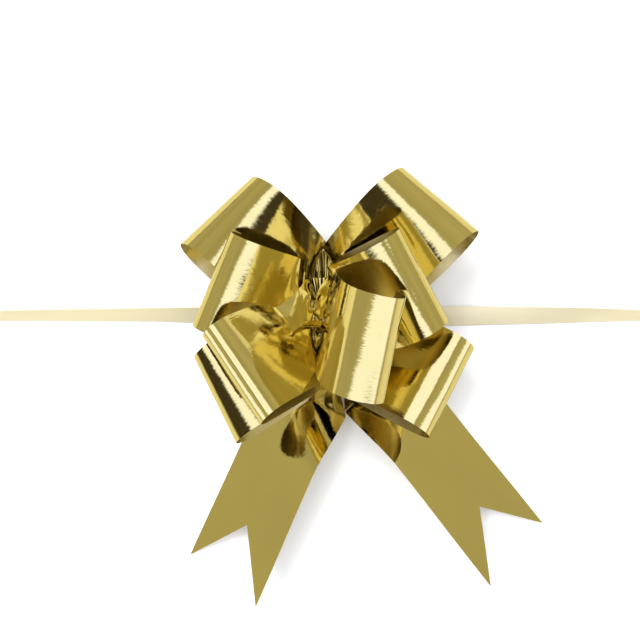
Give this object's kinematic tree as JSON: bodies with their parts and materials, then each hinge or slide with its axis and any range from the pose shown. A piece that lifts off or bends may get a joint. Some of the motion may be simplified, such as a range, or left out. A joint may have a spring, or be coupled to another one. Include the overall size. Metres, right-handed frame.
{
  "type": "gift bow",
  "caption": "Butterfly pull bow of metallised gold film ribbon: paired loops, two swallow-tail ends and two narrow pull strips from a gathered knot.",
  "frame": {"origin": "back of the knot, on the surface that the bow lies on", "axes": "+X to the right-hand loops, +Y to the upper pair of loops (away from the tails), +Z out of the front of the bow"},
  "size_m": [0.341, 0.152, 0.0623],
  "materials": {
    "ribbon_film": "mirror gold metallised film",
    "strip_film": "pale gold film, slightly milky"
  },
  "bodies": {
    "knot": {"waist_tails": "ribbon_film", "waist_lower": "ribbon_film", "waist_upper": "ribbon_film", "waist_middle": "ribbon_film", "waist_front": "ribbon_film", "weld_tab": "strip_film", "strip_run_left": "strip_film", "strip_run_right": "strip_film"},
    "loop_front_left": {"loop_front_left": "ribbon_film"},
    "loop_front_right": {"loop_front_right": "ribbon_film"},
    "loop_middle_left": {"loop_middle_left": "ribbon_film"},
    "loop_middle_right": {"loop_middle_right": "ribbon_film"},
    "loop_upper_left": {"loop_upper_left": "ribbon_film"},
    "loop_upper_right": {"loop_upper_right": "ribbon_film"},
    "loop_lower_left": {"loop_lower_left": "ribbon_film"},
    "loop_lower_right": {"loop_lower_right": "ribbon_film"},
    "tail_left": {"tail_left": "ribbon_film"},
    "tail_right": {"tail_right": "ribbon_film"},
    "strip_left": {"pull_strip_left": "strip_film", "strip_coil_left": "strip_film"},
    "strip_right": {"pull_strip_right": "strip_film", "strip_coil_right": "strip_film"}
  },
  "joints": [
    {"name": "front_left_lift", "type": "hinge", "parent": "knot", "child": "loop_front_left", "pos_m": [-0.0035, -0.0015, 0.0155], "axis": [-0.5496, 0.8351, 0.0246], "range_deg": [-6, 2], "stiffness_Nm_per_rad": 0.005},
    {"name": "front_right_lift", "type": "hinge", "parent": "knot", "child": "loop_front_right", "pos_m": [0.0025, -0.0015, 0.0155], "axis": [-0.2022, -0.9758, -0.0829], "range_deg": [-6, 2], "stiffness_Nm_per_rad": 0.005},
    {"name": "middle_left_lift", "type": "hinge", "parent": "knot", "child": "loop_middle_left", "pos_m": [-0.001, 0.0015, 0.011], "axis": [0.435, 0.8897, 0.1387], "range_deg": [-4.8, 1.6], "stiffness_Nm_per_rad": 0.005},
    {"name": "middle_right_lift", "type": "hinge", "parent": "knot", "child": "loop_middle_right", "pos_m": [0.004, 0.0015, 0.011], "axis": [0.4596, -0.8848, -0.0767], "range_deg": [-4.8, 1.6], "stiffness_Nm_per_rad": 0.005},
    {"name": "upper_left_lift", "type": "hinge", "parent": "knot", "child": "loop_upper_left", "pos_m": [0, 0.004, 0.0075], "axis": [0.7217, 0.6692, 0.1769], "range_deg": [-4.2, 1.4], "stiffness_Nm_per_rad": 0.005},
    {"name": "upper_right_lift", "type": "hinge", "parent": "knot", "child": "loop_upper_right", "pos_m": [0.004, 0.004, 0.0075], "axis": [0.7611, -0.6111, -0.2174], "range_deg": [-4.2, 1.4], "stiffness_Nm_per_rad": 0.005},
    {"name": "lower_left_lift", "type": "hinge", "parent": "knot", "child": "loop_lower_left", "pos_m": [0, -0.001, 0.0045], "axis": [-0.5736, 0.8192, 0], "range_deg": [-3, 1], "stiffness_Nm_per_rad": 0.005},
    {"name": "lower_right_lift", "type": "hinge", "parent": "knot", "child": "loop_lower_right", "pos_m": [0.004, -0.001, 0.0045], "axis": [-0.4729, -0.8761, -0.0939], "range_deg": [-1.5, 0.5], "stiffness_Nm_per_rad": 0.005},
    {"name": "tail_left_swing", "type": "hinge", "parent": "knot", "child": "tail_left", "pos_m": [0.0044, -0.003, 0], "axis": [0, 0, 1], "range_deg": [-6, 0.5]},
    {"name": "tail_right_swing", "type": "hinge", "parent": "knot", "child": "tail_right", "pos_m": [0.0046, -0.0012, 0], "axis": [0, 0, 1], "range_deg": [-0.5, 2]},
    {"name": "strip_left_pull", "type": "slide", "parent": "knot", "child": "strip_left", "axis": [-1, 0, 0], "range_m": [0, 0.004]},
    {"name": "strip_right_pull", "type": "slide", "parent": "knot", "child": "strip_right", "axis": [1, 0, 0], "range_m": [0, 0.004]}
  ],
  "couplings": [
    {"joint": "middle_left_lift", "follows": "front_left_lift", "ratio": 0.8},
    {"joint": "middle_right_lift", "follows": "front_right_lift", "ratio": 0.8},
    {"joint": "upper_left_lift", "follows": "front_left_lift", "ratio": 0.7},
    {"joint": "upper_right_lift", "follows": "front_right_lift", "ratio": 0.7},
    {"joint": "lower_left_lift", "follows": "front_left_lift", "ratio": 0.5},
    {"joint": "lower_right_lift", "follows": "front_right_lift", "ratio": 0.25}
  ]
}
